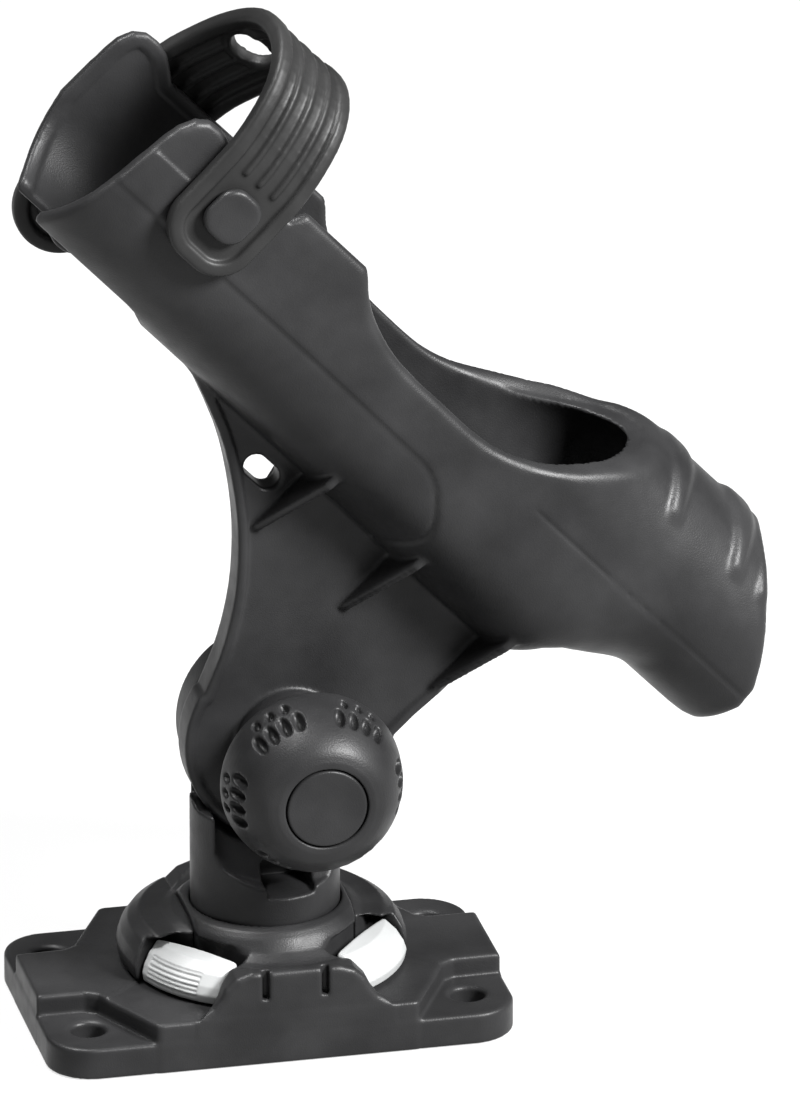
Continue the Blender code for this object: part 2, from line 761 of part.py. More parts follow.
def make_holder(holder, pivot):
    body = tube_body(holder)
    web = side_prism("web", web_outline(), WEB_HALF, CUTTERS)
    boss = rod("boss", BOSS_RADIUS, WEB_HALF - 1 * MM, BOSS_FRONT, CUTTERS, sides=48)
    along_minus_y(boss, pivot)
    join(body, web, boss)
    for i, along in enumerate(GUSSETS):
        rib = tube_solid(f"gusset_{i}", gusset_section(), along - 1.4 * MM, along + 1.4 * MM)
        join(body, place(rib, holder))
    lug = rod("far_lug", 7.5 * MM, 8 * MM, 27 * MM, CUTTERS, sides=24)
    place(lug, holder, (FAR_PEG[0], 0, FAR_PEG[1] + 1 * MM), (-math.pi / 2, 0, 0))
    join(body, lug)
    join(body, *peg("near_peg", NEAR_PEG[0], NEAR_PEG[1], 25 * MM, 1, holder))
    join(body, *peg("far_peg", FAR_PEG[0], FAR_PEG[1], 20 * MM, -1, holder))

    channel = tube_solid("channel", stadium(TUBE_INNER_RADIUS, 0.0, NOSE_AXIS, 16), -40 * MM, 152 * MM)
    nose_bore = tube_solid(
        "nose_bore", stadium(TUBE_INNER_RADIUS, NOSE_AXIS, NOSE_AXIS, 16), 145 * MM, 215 * MM
    )
    mouth_slot = prism(
        "mouth_slot",
        [(-40 * MM, -10.5 * MM)] + arc((3.5 * MM, 0), 10.5 * MM, -90, 90, 8) + [(-40 * MM, 10.5 * MM)],
        -32 * MM,
        -15 * MM,
        CUTTERS,
    )
    lanyard_slot = side_prism("lanyard_slot", lanyard_outline(), 10 * MM, CUTTERS)
    for shape in (channel, nose_bore, mouth_slot, lanyard_slot):
        place(shape, holder)
    bore = rod("web_bore", BOLT_BORE, -30 * MM, 30 * MM, CUTTERS, sides=24)
    spring_seat = rod("web_spring_seat", 9.0 * MM, -20 * MM, -0.2 * MM, CUTTERS, sides=32)
    for shape in (bore, spring_seat):
        along_minus_y(shape, pivot)
    cut(body, channel, nose_bore, mouth_slot, lanyard_slot, bore, spring_seat)
    body = baked(body)
    body.name = "rod_holder_body"
    CUTTERS.objects.unlink(body)
    PARTS.objects.link(body)
    body.hide_render = False
    body.display_type = "TEXTURED"
    body.data.materials.append(BLACK)
    shade(body)


def lanyard_outline():
    """The oblong hole through the web, in the holder's frame."""
    centre = (67.0, -32.6)
    half_length = 2.2
    radius = 3.2
    left = arc((centre[0] - half_length, centre[1]), radius, 90, 270, 8)
    right = arc((centre[0] + half_length, centre[1]), radius, -90, 90, 8)
    return mm_points(left + right)


def strap_path():
    """Centre line of the band, (along, across, up), from the near end over the tube to the far end."""
    side = STRAP_SIDE / MM
    crown = STRAP_CROWN / MM
    near = [(1.5, -side, -0.8), (1.5, -side, 6), (1.5, -side, 12.7), (0.8, -side, 20), (-0.6, -side, 27)]
    far = [(-12.4, side, 27), (-11.8, side, 10), (-11.0, side, -6), (-10.8, side, -13),
           (-10.7, side, -20.6), (-10.7, side, -27.4), (-10.7, side, -34.1)]
    over = []
    for i in range(1, 12):
        angle = math.pi * i / 12
        across = -side * math.cos(angle)
        up = 27 + (crown - 27) * math.sin(angle) ** 0.85
        along = -0.6 - 11.8 * (0.5 - 0.5 * math.cos(angle)) - 3.5 * math.sin(angle)
        over.append((along, across, up))
    return smooth_line(near + over + far, 2)


def make_strap(holder):
    """The rubber band: a surface with round ends, thickened, with a hole for each peg."""
    path = strap_path()
    mesh = bpy.data.meshes.new("strap")
    shape = bmesh.new()
    travelled = [0.0]
    for a, b in zip(path, path[1:]):
        travelled.append(travelled[-1] + math.dist(a, b))
    half = STRAP_HALF_WIDTH / MM
    rows = []
    for point, distance in zip(path, travelled):
        to_end = min(distance, travelled[-1] - distance)
        inset = max(half - to_end, 0.0)
        reach = math.sqrt(max(half**2 - inset**2, 1.6**2))
        row = []
        for i in range(9):
            across = reach * (i / 4 - 1)
            row.append(shape.verts.new(((point[0] + across) * MM, point[1] * MM, point[2] * MM)))
        rows.append(row)
    for a, b in zip(rows, rows[1:]):
        for i in range(8):
            shape.faces.new((a[i], a[i + 1], b[i + 1], b[i]))
    shape.to_mesh(mesh)
    shape.free()
    strap = add_object("strap", mesh, PARTS, RUBBER)
    place(strap, holder)
    solidify = strap.modifiers.new("thickness", "SOLIDIFY")
    solidify.thickness = STRAP_THICKNESS
    solidify.offset = 0.0
    for name, (along, up), side in (("near", NEAR_PEG, 1), ("far", FAR_PEG, -1)):
        hole = rod(name + "_strap_hole", 4.6 * MM + GAP, 20 * MM, 40 * MM, CUTTERS, sides=24)
        place(hole, holder, (along, 0, up), (side * math.pi / 2, 0, 0))
        cut(strap, hole)
    middle_hole = rod("middle_hole", 6.0 * MM, 30 * MM, 70 * MM, CUTTERS, sides=24)
    place(middle_hole, holder, (-12.5 * MM, 2 * MM, 20 * MM), (-math.radians(24), 0, 0))
    cut(strap, middle_hole)
    shade(strap)


def main():
    pivot = bpy.data.objects.new("pivot_frame", None)
    PARTS.objects.link(pivot)
    pivot.location = (PIVOT_X, 0, PIVOT_Z)
    holder = bpy.data.objects.new("holder_frame", None)
    PARTS.objects.link(holder)
    holder.location = (TUBE_X, 0, TUBE_Z)
    holder.rotation_euler = (0, PITCH, 0)

    windows = []
    for side in ("left", "right"):
        frame = button_frame(side)
        window = button_window(side, frame)
        windows.append(window)
        make_side_cover(side, window)
        make_button(side, frame)
    make_base_plate(windows)
    make_base_cover()
    make_swivel_socket()
    make_post(pivot)
    make_seal()
    make_pivot_hardware(pivot)
    make_knob(pivot)
    make_holder(holder, pivot)
    make_strap(holder)


clear_scene()
PARTS = new_collection("rod_holder")
CUTTERS = new_collection("cutters")
BLACK = make_material("black_nylon", (0.018, 0.018, 0.019), 0.5)
GREY = make_material("grey_nylon", (0.55, 0.56, 0.56), 0.45)
RUBBER = make_material("black_rubber", (0.014, 0.014, 0.015), 0.6)
STEEL = make_material("stainless_steel", (0.62, 0.61, 0.59), 0.3, 1.0)
BRASS = make_material("brass", (0.72, 0.53, 0.24), 0.35, 1.0)
main()
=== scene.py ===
"""Rod holder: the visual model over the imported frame.

The moulded pieces are written as distance fields in millimetres: a field is negative inside the
piece, and soft minimum and maximum give the fillets and rounded edges of a moulding. mesh_piece
turns a field into a quad mesh whose points lie on the surface itself.
"""

import itertools
import math

import bpy
import numpy as np
from mathutils import Matrix, Vector


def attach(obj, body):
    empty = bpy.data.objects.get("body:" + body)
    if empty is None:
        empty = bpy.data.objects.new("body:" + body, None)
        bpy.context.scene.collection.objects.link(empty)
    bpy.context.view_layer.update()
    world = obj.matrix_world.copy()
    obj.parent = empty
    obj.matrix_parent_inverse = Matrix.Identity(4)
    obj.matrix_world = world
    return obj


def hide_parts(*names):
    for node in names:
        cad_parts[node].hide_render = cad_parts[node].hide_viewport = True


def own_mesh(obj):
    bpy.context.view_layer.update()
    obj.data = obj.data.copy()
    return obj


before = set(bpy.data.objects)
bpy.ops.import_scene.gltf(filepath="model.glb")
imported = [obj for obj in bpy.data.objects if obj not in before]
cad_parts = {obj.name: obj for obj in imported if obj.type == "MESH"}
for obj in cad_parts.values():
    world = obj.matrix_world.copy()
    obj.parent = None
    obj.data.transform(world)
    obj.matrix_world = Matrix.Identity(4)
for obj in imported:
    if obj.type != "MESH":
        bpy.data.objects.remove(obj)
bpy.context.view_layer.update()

MM = 0.001
QUICK = 1.0  # coarser meshes while testing

# Frame of the rod tube: +a runs from mouth to nose, +u out of the open side.
PITCH = math.radians(46.5)
TUBE_ORIGIN = (-23.7, 221.35)  # in world x and z
PIVOT = (5.7, 75.0)  # of the tilt, in world x and z
BOLT_HOLE = 4.3  # radius


# ---------------------------------------------------------------- field tools


def soft_max(a, b, radius):
    """The larger of two fields, with the edge between them rounded over the radius."""
    share = np.maximum(radius - np.abs(a - b), 0.0) / radius
    return np.maximum(a, b) + share * share * radius / 4


def soft_min(a, b, radius):
    """The smaller of two fields, with a fillet where they meet."""
    return -soft_max(-a, -b, radius)


def rise(x, start, end):
    """0 before start, 1 after end, smooth between."""
    t = np.clip((x - start) / (end - start), 0.0, 1.0)
    return t * t * (3 - 2 * t)


def curve_value(p, q, r, s, t):
    """One coordinate of a Catmull-Rom curve, at t from 0 (on q) to 1 (on r)."""
    second = 2 * p - 5 * q + 4 * r - s
    third = 3 * q - p - 3 * r + s
    return 0.5 * (2 * q + (r - p) * t + second * t**2 + third * t**3)


def smooth_line(points, steps):
    """A Catmull-Rom curve through the points, with so many steps between each two."""
    padded = points[:1] + points + points[-1:]
    line = []
    for four in zip(padded, padded[1:], padded[2:], padded[3:]):
        for t in np.arange(steps) / steps:
            line.append(tuple(curve_value(*values, t) for values in zip(*four)))
    return line + [points[-1]]


def polygon(points, x, y):
    """Distance to a closed outline, negative inside."""
    nearest = np.inf
    inside = False
    for (px, py), (qx, qy) in zip(points, points[1:] + points[:1]):
        ex, ey = qx - px, qy - py
        wx, wy = x - px, y - py
        t = np.clip((wx * ex + wy * ey) / (ex * ex + ey * ey + 1e-12), 0.0, 1.0)
        nearest = np.minimum(nearest, (wx - ex * t) ** 2 + (wy - ey * t) ** 2)
        if ey != 0:
            crosses = ((py > y) != (qy > y)) & (x < ex * (y - py) / ey + px)
            inside = inside ^ crosses
    return np.sqrt(nearest) * np.where(inside, -1.0, 1.0)


def rounded_box(x, y, half_x, half_y, corner):
    """Distance to a rectangle with rounded corners, centred on the origin."""
    qx = np.abs(x) - half_x + corner
    qy = np.abs(y) - half_y + corner
    outside = np.hypot(np.maximum(qx, 0), np.maximum(qy, 0))
    return outside + np.minimum(np.maximum(qx, qy), 0) - corner


def circle(x, y, radius):
    """Distance to a circle centred on the origin."""
    return np.hypot(x, y) - radius


# ---------------------------------------------------------------- meshing

CORNERS = list(itertools.product((0, 1), repeat=3))
EDGES = [
    (p, q)
    for p, q in itertools.combinations(range(8), 2)
    if sum(abs(a - b) for a, b in zip(CORNERS[p], CORNERS[q])) == 1
]


def edge_middles(grid, cells):
    """For each cell, the mean of the points where the surface crosses the cell's edges."""
    values = [grid[tuple((cells + corner).T)] for corner in CORNERS]
    total = np.zeros(cells.shape)
    hits = np.zeros(len(cells))
    for p, q in EDGES:
        crosses = (values[p] < 0) != (values[q] < 0)
        gap = np.where(crosses, values[p] - values[q], 1.0)
        t = np.where(crosses, values[p] / gap, 0.0)[:, None]
        point = np.array(CORNERS[p]) * (1 - t) + np.array(CORNERS[q]) * t
        total += point * crosses[:, None]
        hits += crosses
    return cells + total / hits[:, None]


def settle(field, points, cell):
    """Moves each point onto the surface along the field's slope."""
    step = 0.05
    least_square = 0.2  # so that a flat spot of the field throws no point far
    for _ in range(2):
        value = field(*points.T)
        slope = np.empty_like(points)
        for axis in range(3):
            shifted = points.copy()
            shifted[:, axis] += step
            slope[:, axis] = (field(*shifted.T) - value) / step
        square = np.maximum((slope**2).sum(axis=1), least_square)
        move = slope * (value / square)[:, None]
        points = points - np.clip(move, -cell / 2, cell / 2)
    return points


def surface_net(field, low, high, cell):
    """(points, quads) of the surface of a field, in millimetres."""
    axes = [np.arange(low[i] - 2 * cell, high[i] + 3 * cell, cell) for i in range(3)]
    shape = tuple(len(axis) for axis in axes)
    grid = field(axes[0][:, None, None], axes[1][None, :, None], axes[2][None, None, :])
    grid = np.broadcast_to(grid, shape)
    inside = grid < 0
    count = np.zeros(tuple(n - 1 for n in shape), np.int8)
    for i, j, k in CORNERS:
        count += inside[i : shape[0] - 1 + i, j : shape[1] - 1 + j, k : shape[2] - 1 + k]
    active = (count > 0) & (count < 8)
    cells = np.argwhere(active)
    number = np.zeros(active.shape, np.int64)
    number[active] = np.arange(len(cells))
    quads = []
    for d in range(3):
        e, f = (np.eye(3, dtype=int)[(d + n) % 3] for n in (1, 2))
        lower = np.take(inside, range(shape[d] - 1), axis=d)
        upper = np.take(inside, range(1, shape[d]), axis=d)
        at = np.argwhere(lower != upper)
        ring = [number[tuple((at - move).T)] for move in (e + f, f, 0 * e, e)]
        ring = np.stack(ring, axis=1)
        outward = lower[tuple(at.T)]
        quads.append(np.where(outward[:, None], ring, ring[:, ::-1]))
    middles = edge_middles(grid, cells)
    points = np.array([axis[0] for axis in axes]) + middles * cell
    return settle(field, points, cell), np.concatenate(quads)


def mesh_piece(name, field, low, high, cell, material, place=Matrix()):
    """An object whose mesh is the field's surface between the corners low and high."""
    points, quads = surface_net(field, low, high, cell * QUICK)
    mesh = bpy.data.meshes.new(name)
    mesh.from_pydata((points * MM).tolist(), [], quads.tolist())
    mesh.transform(place)
    mesh.materials.append(material)
    mesh.shade_smooth()
    piece = bpy.data.objects.new(name, mesh)
    bpy.context.scene.collection.objects.link(piece)
    return piece


def stands_for(piece, node, body):
    """Puts a piece on its body, in place of its CAD node."""
    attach(piece, body)
    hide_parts(node)


# ---------------------------------------------------------------- materials


def new_material(name):
    """(node tree, shader, material) of a new material."""
    material = bpy.data.materials.new(name)
    material.use_nodes = True
    tree = material.node_tree
    return tree, tree.nodes["Principled BSDF"], material


def noise(tree, scale, detail=3.0):
    """A noise value in object coordinates; the scale is in waves per metre."""
    coordinates = tree.nodes.new("ShaderNodeTexCoord")
    texture = tree.nodes.new("ShaderNodeTexNoise")
    texture.inputs["Scale"].default_value = scale
    texture.inputs["Detail"].default_value = detail
    tree.links.new(coordinates.outputs["Object"], texture.inputs["Vector"])
    return texture.outputs["Fac"]


def ramp(tree, source, low, high):
    """Maps the middle of a noise value's range onto colours from low to high."""
    node = tree.nodes.new("ShaderNodeValToRGB")
    for index, position, color in ((0, 0.35, low), (1, 0.65, high)):
        node.color_ramp.elements[index].position = position
        node.color_ramp.elements[index].color = (*color, 1.0)
    tree.links.new(source, node.inputs["Fac"])
    return node.outputs["Color"]


def spread(tree, source, low, high):
    """Maps the middle of a noise value's range onto a number from low to high."""
    node = tree.nodes.new("ShaderNodeMapRange")
    for end, value in (("From Min", 0.3), ("From Max", 0.7), ("To Min", low), ("To Max", high)):
        node.inputs[end].default_value = value
    tree.links.new(source, node.inputs["Value"])
    return node.outputs["Result"]


def bump(tree, shader, source, strength, distance):
    """Roughens the shader's surface with a noise value; the distance is in metres."""
    node = tree.nodes.new("ShaderNodeBump")
    node.inputs["Strength"].default_value = strength
    node.inputs["Distance"].default_value = distance
    tree.links.new(source, node.inputs["Height"])
    tree.links.new(node.outputs["Normal"], shader.inputs["Normal"])


def plastic(name, dark, light, roughness, grain, strength, gloss):
    """A moulded plastic or rubber: cloudy colour, uneven gloss and a fine spark-eroded grain."""
    tree, shader, material = new_material(name)
    shader.inputs["Specular IOR Level"].default_value = gloss
    cloud = noise(tree, 45.0, 4.0)
    tree.links.new(ramp(tree, cloud, dark, light), shader.inputs["Base Color"])
    smear = noise(tree, 160.0, 3.0)
    tree.links.new(spread(tree, smear, *roughness), shader.inputs["Roughness"])
    bump(tree, shader, noise(tree, grain, 2.0), strength, 0.12 * MM)
    return material


def metal(name, color, roughness):
    """A plain metal: cloudy colour, uneven gloss and a very fine grain."""
    tree, shader, material = new_material(name)
    shader.inputs["Metallic"].default_value = 1.0
    cloud = noise(tree, 220.0, 2.0)
    dark = tuple(0.8 * c for c in color)
    tree.links.new(ramp(tree, cloud, dark, color), shader.inputs["Base Color"])
    smear = noise(tree, 900.0, 2.0)
    tree.links.new(spread(tree, smear, *roughness), shader.inputs["Roughness"])
    bump(tree, shader, noise(tree, 3000.0, 2.0), 0.1, 0.04 * MM)
    return material


BLACK = plastic(
    "black_nylon", (0.008, 0.008, 0.0083), (0.014, 0.014, 0.0144),
    roughness=(0.36, 0.46), grain=2600.0, strength=0.5, gloss=0.15,
)
GREY = plastic(
    "grey_nylon", (0.20, 0.204, 0.204), (0.24, 0.244, 0.244),
    roughness=(0.36, 0.46), grain=2600.0, strength=0.15, gloss=0.4,
)
RUBBER = plastic(
    "black_rubber", (0.007, 0.007, 0.007), (0.012, 0.012, 0.012),
    roughness=(0.42, 0.52), grain=1800.0, strength=0.2, gloss=0.15,
)
STEEL = metal("stainless_steel", (0.62, 0.61, 0.59), (0.22, 0.4))
BRASS = metal("brass", (0.72, 0.53, 0.24), (0.28, 0.42))


# ---------------------------------------------------------------- holder


def tube_to_world(a, u):
    """World x and z of a point given in the frame of the rod tube."""
    x = TUBE_ORIGIN[0] + math.cos(PITCH) * a + math.sin(PITCH) * u
    z = TUBE_ORIGIN[1] - math.sin(PITCH) * a + math.cos(PITCH) * u
    return x, z


TUBE_PLACE = Matrix.Translation(
    Vector((TUBE_ORIGIN[0], 0.0, TUBE_ORIGIN[1])) * MM
) @ Matrix.Rotation(PITCH, 4, "Y")

# The open saddle's edge in (a, u), from the nose back to the shoulder behind the strap.
SADDLE = smooth_line(
    [(139, 51), (136, 47), (133.0, 42.8), (130.4, 39.4), (127.4, 36.0), (123.8, 33.0), (119.2, 29.4),
     (114.1, 25.8), (108.3, 22.7), (102.1, 19.8), (95.5, 17.3), (88.1, 15.6), (79.9, 14.6),
     (70.7, 14.3), (62, 14.9), (54.6, 16.6), (48, 19.2), (43, 22.2), (39.8, 25.0)],
    3,
)
# The tube's side view in (a, u). Up to the nose its underside is left wide: the wall itself ends there.
SIDE_VIEW = (
    [(-35, -60), (149.0, -60), (149.0, -27), (150.6, -18.8), (152.6, -12.2), (155.8, -9.0),
     (161, -8.0), (176, -7.6), (193.5, -6.2), (198.2, -4.8), (200.9, -1.2), (201.9, 12),
     (200.0, 18.5), (195.4, 25.5), (191, 31.5), (186, 37.6), (181.5, 42.5), (176, 47.5), (170, 51)]
    + SADDLE
    + [(37.6, 26.8), (15, 26.8), (12.6, 22.4), (-15.6, 22.2), (-18.5, 24.4), (-22, 26.6), (-26, 27.6),
       (-30, 27.3), (-33, 25), (-34.6, 21), (-35, 17)]
)
# The web in world x and z: its left edge, the round foot at the pivot, and back up to the tube.
LEFT_EDGE = smooth_line(
    [(-20.0, 181.0), (-12.4, 162.5), (-9.1, 148.4), (-7.6, 134.4), (-8.0, 120.6), (-9.8, 109.6),
     (-12.6, 99.8), (-16.8, 89.6)],
    3,
)
FOOT_RADIUS = 27.5
FOOT = [
    (PIVOT[0] + FOOT_RADIUS * math.cos(turn), PIVOT[1] + FOOT_RADIUS * math.sin(turn))
    for turn in map(math.radians, range(148, 363, 6))
]
WEB = [(-14.0, 192.0)] + LEFT_EDGE + FOOT + [(38.8, 79.4), (44.8, 84.2), (59.6, 98.2), (61, 108)]
RIBS = (76.6, 110.1, 144.3)  # their places along the tube
RIB_SECTION = [(0, -12), (19, -12), (18.4, -22), (5.0, -44.6), (0, -46)]  # half of it, in (y, u)


def mouth_shift(a, y, u):
    """The mouth is cut askew: its far side reaches furthest and the knob side is set back."""
    far_side = 0.5 + 0.5 * np.clip(y / 22, -1, 1)
    far = 4.0 * (1 - np.clip((u + 19) / 20, 0, 1))
    near = 4.0 + 4.4 * np.clip((u + 19) / 43, 0, 1)
    return (near + (far - near) * far_side) * (1 - rise(a, -16, 4))


def nose_bands(a, y, u):
    """Height of the three ridges that bow over the top of the nose and taper down its sides."""
    angle = np.arctan2(np.abs(y), u - 19.3)
    fade = 1 - rise(angle, 0.92, 1.12)
    bow = 8.0 * (1 - np.cos(angle))
    width = 4.6 - 2.3 * rise(angle, 0.1, 0.9)
    total = 0.0
    for centre, height in ((145.9, 1.1), (169.4, 1.3), (180.2, 1.2)):
        total = total + height * np.exp(-(((a - centre - bow) / width) ** 4)) * fade
    return total


def rib(a, y, u, at):
    """A thin triangular rib between the flank of the tube and the web."""
    across = polygon(RIB_SECTION, np.abs(y), u)
    return soft_max(across, np.abs(a - at) - 1.25, 0.8)


def peg_field(a, y, u, at, side):
    """A strap peg on the knob side (side -1) or the far side (side 1)."""
    da, du, out = a - at[0], u - at[1], side * y
    stem = np.maximum(circle(da, du, 4.6), np.abs(out - 26) - 6)
    tall = rounded_box(da, du, 6.5, 7.1, 5.2)
    head = soft_max(tall, np.abs(out - 32.7) - 1.6, 1.6)
    return soft_min(stem, head, 0.6)


TUBE_RADIUS = 26.6
NOSE_RADIUS = 25.2
CRADLE_RADIUS = 23.6  # inside the tube
BORE_RADIUS = 22.3  # inside the nose
WEB_HALF_THICKNESS = 3.9
# Outline, in (a, u), of the slightly sunk panel on the tube's lower flanks.
PANEL = (
    [(-60, 0.2)]
    + smooth_line([(10, 0.4), (40, 0.6), (76, 0.2), (89.5, -0.4), (98, -5.7), (104, -13.4),
                   (102.6, -21.8), (99, -30)], 4)
    + [(99, -60), (-60, -60)]
)
PANEL_DEPTH = 0.5
# Places of the strap's pegs in (a, u).
NEAR_PEG = (-2.2, 14.2)
FAR_PEG = (-10.7, -20.6)


def parting_line(a, u):
    """1 along the mould's parting line on the nose, falling to 0 beside it."""
    return np.exp(-(((u - 10.6) / 0.6) ** 2)) * rise(a, 116, 120)


def outer_wall(a, y, u):
    """The tube without its hollow: a trough with a sunk panel, which turns into the round nose."""
    trough = circle(y, u - np.clip(u, 0.8, 20.5), TUBE_RADIUS)
    border = polygon(PANEL, a, u)
    groove = np.exp(-((border / 0.8) ** 2))
    panel = 1 - rise(border, -0.4, 0.4)
    facet = rise(u, 12.6, 13.2) * (1 - rise(a, -15.5, -14))
    trough = trough - PANEL_DEPTH + PANEL_DEPTH * panel + 0.3 * groove + PANEL_DEPTH * facet
    nose = circle(y, u - 19.1, NOSE_RADIUS) - nose_bands(a, y, u)
    low = 1 - rise(u, 8, 28)
    return trough + (nose - trough) * rise(a - 32 * low, 112, 146) + 0.35 * parting_line(a, u)


def rim_drop(a, y, wall):
    """How far the rim is lowered: it slopes inwards near the nose and is lower on the knob side."""
    inward = 1.1 * np.clip(-wall, 0, 4.4) * rise(a, 70, 112)
    near_side = np.clip(-y / 20, 0, 1)
    far_side = np.clip(y / 14, 0, 1)
    raised = far_side * (1.1 * rise(a, 50, 66) + 2.4 * rise(a, 84, 112)) * (1 - rise(a, 136, 152))
    return inward * (1 - near_side) + 4.3 * near_side * rise(a, 74, 112) - raised


def tube_outside(a, y, u):
    """(the tube without its hollow, its side view), the first with its edges rounded."""
    wall = outer_wall(a, y, u)
    side_view = polygon(SIDE_VIEW, a - mouth_shift(a, y, u), u + rim_drop(a, y, wall))
    round_by_nose = 3.0 * rise(u, 30, 38) * rise(a, 100, 120) * (1 - rise(a, 155, 165))
    edge = 1.8 + 1.6 * rise(a, 38, 50) + round_by_nose
    return soft_max(wall, side_view, edge), side_view


def cradle_hollow(a, y, u, side_view):
    """The open channel for the rod, with a bead round the mouth, and narrower near the nose."""
    bead = 0.9 * rise(side_view, -4.6, -3.4) * (1 - rise(a, 4, 12))
    near_nose = rise(a, 95, 118)
    top = 30 - 15.5 * near_nose
    trough = circle(y, u - np.clip(u, 0, top), CRADLE_RADIUS) + bead + 1.3 * near_nose
    return soft_max(trough, a - 134, 3.0)


def nose_hollow(a, y, u):
    """The bore through the nose, which rises a little on its way."""
    return np.maximum(circle(y, u - 14.5 - 4.6 * rise(a, 128, 152), BORE_RADIUS), 96 - a)


def web_field(x, y, z):
    """The flat web under the tube, with a thicker border."""
    plan = polygon(WEB, x, z)
    border = 1.1 * (1 - rise(-plan, 2.2, 3.0))
    return soft_max(plan, np.abs(y) - WEB_HALF_THICKNESS - border, 1.0)


def holder_field(a, y, u):
    """The whole moulding: tube, web, ribs, pivot boss and pegs, less its hollows, slots and hole."""
    x, z = tube_to_world(a, u)
    outside, side_view = tube_outside(a, y, u)
    body = soft_min(outside, web_field(x, y, z), 1.6)
    for at in RIBS:
        body = soft_min(body, rib(a, y, u, at), 0.9)

    pivot_radius = np.hypot(x - PIVOT[0], z - PIVOT[1])
    boss = soft_max(pivot_radius - 14.2, np.abs(y + 4) - 9.0, 1.0)
    body = soft_min(body, boss, 1.0)
    lug = np.maximum(circle(a + 10.7, u + 19.6, 7.5), np.abs(y - 18) - 9)
    body = soft_min(body, lug, 2.0)
    body = soft_min(body, peg_field(a, y, u, NEAR_PEG, -1), 0.8)
    body = soft_min(body, peg_field(a, y, u, FAR_PEG, 1), 0.8)

    body = soft_max(body, -cradle_hollow(a, y, u, side_view), 0.9)
    body = soft_max(body, -nose_hollow(a, y, u), 1.0)
    mouth_slot = np.maximum(rounded_box(a + 20, y, 33.5, 10.5, 10.0), u + 12)
    body = soft_max(body, -mouth_slot, 1.6)
    lanyard_slot = circle(a - 67 - np.clip(a - 67, -2.2, 2.2), u + 32.6, 3.2)
    body = soft_max(body, -lanyard_slot, 0.9)
    return soft_max(body, BOLT_HOLE - pivot_radius, 0.4)


def make_holder():
    piece = mesh_piece(
        "holder_moulding", holder_field, (-37, -35, -109), (206, 35, 52), 0.9, BLACK, TUBE_PLACE
    )
    stands_for(piece, "rod_holder_body", "holder")


# ---------------------------------------------------------------- strap


# Centre line of the band in (along, across, up), from the near peg over the mouth to the far peg.
STRAP_LINE = smooth_line(
    [(-1.6, -29.6, -4), (-2.0, -29.6, 14.2), (-2.2, -29.6, 20), (-2.6, -29.4, 28), (-3.8, -27.9, 37),
     (-5.4, -24.6, 45.4), (-7.0, -18.6, 51.0), (-8.2, -10.2, 53.6), (-9.0, 0, 52.8), (-9.4, 8.8, 49.0),
     (-9.8, 16.6, 42.6), (-10.2, 22.9, 34.6), (-10.9, 27.0, 26), (-11.2, 29.2, 12), (-11.0, 29.4, -4),
     (-10.7, 29.4, -20.6), (-10.7, 29.4, -35)],
    3,
)
# Way along the line at which each of its points lies.
STRAP_REACH = np.concatenate(
    [[0.0], np.cumsum([math.dist(p[1:], q[1:]) for p, q in zip(STRAP_LINE, STRAP_LINE[1:])])]
)


def along_strap(y, u):
    """(distance from the centre line, way along it, its place along the tube) for each point."""
    nearest, way, centre = np.inf, 0.0, 0.0
    for p, q, start in zip(STRAP_LINE, STRAP_LINE[1:], STRAP_REACH):
        ey, eu = q[1] - p[1], q[2] - p[2]
        wy, wu = y - p[1], u - p[2]
        t = np.clip((wy * ey + wu * eu) / (ey * ey + eu * eu), 0.0, 1.0)
        distance = (wy - ey * t) ** 2 + (wu - eu * t) ** 2
        closer = distance < nearest
        nearest = np.where(closer, distance, nearest)
        way = np.where(closer, start + t * math.hypot(ey, eu), way)
        centre = np.where(closer, p[0] + t * (q[0] - p[0]), centre)
    return np.sqrt(nearest), way, centre


# Ways along the strap of its two pegs and of the hole at its top.
NEAR_PEG_WAY = 18.2
FAR_PEG_WAY = STRAP_REACH[-1] - 14.4
STRAP_HOLE_WAY = NEAR_PEG_WAY + 76.0
BLUNT_END = NEAR_PEG_WAY + 30  # up to here the blunt end gives the band its plan
HALF_BAND = 12.9


def strap_outline(across, way):
    """Long plan of the band: a blunt end at the near peg, a round one at the far peg."""
    blunt = rounded_box(across, way - BLUNT_END, HALF_BAND, 46.5, 10.5)
    round_end = np.hypot(across, way - np.clip(way, BLUNT_END, FAR_PEG_WAY)) - HALF_BAND
    return np.where(way < BLUNT_END, blunt, round_end)


def strap_field(a, y, u):
    """The band: a bead round its edge, three ridges along it, a collared hole and two peg holes."""
    distance, way, centre = along_strap(y, u)
    across = a - centre
    outline = strap_outline(across, way)
    bead = 1.3 * rise(outline, -4.6, -3.4)
    from_peg = way - NEAR_PEG_WAY
    along = rise(from_peg, 9, 10.5) * (1 - rise(way, FAR_PEG_WAY - 18, FAR_PEG_WAY - 16))
    ridges = sum(np.exp(-(((across - at) / 0.9) ** 4)) for at in (-5.0, 0.0, 5.0))
    thickness = 1.2 + bead + 0.9 * along * ridges
    band = soft_max(outline, distance - thickness, 1.8)
    hole = np.hypot(across + 1.4, way - STRAP_HOLE_WAY) - 5.8
    collar = soft_max(hole - 2.2, distance - 1.9, 0.8)
    band = soft_min(band, collar, 0.6)
    band = soft_max(band, -hole, 0.8)
    for at in (NEAR_PEG_WAY, FAR_PEG_WAY):
        band = soft_max(band, 5.0 - np.hypot(across, way - at), 0.5)
    return band


def make_strap():
    piece = mesh_piece(
        "rubber_strap", strap_field, (-30, -33, -36), (17, 33, 57), 0.65, RUBBER, TUBE_PLACE
    )
    stands_for(piece, "strap", "holder")


# ---------------------------------------------------------------- base


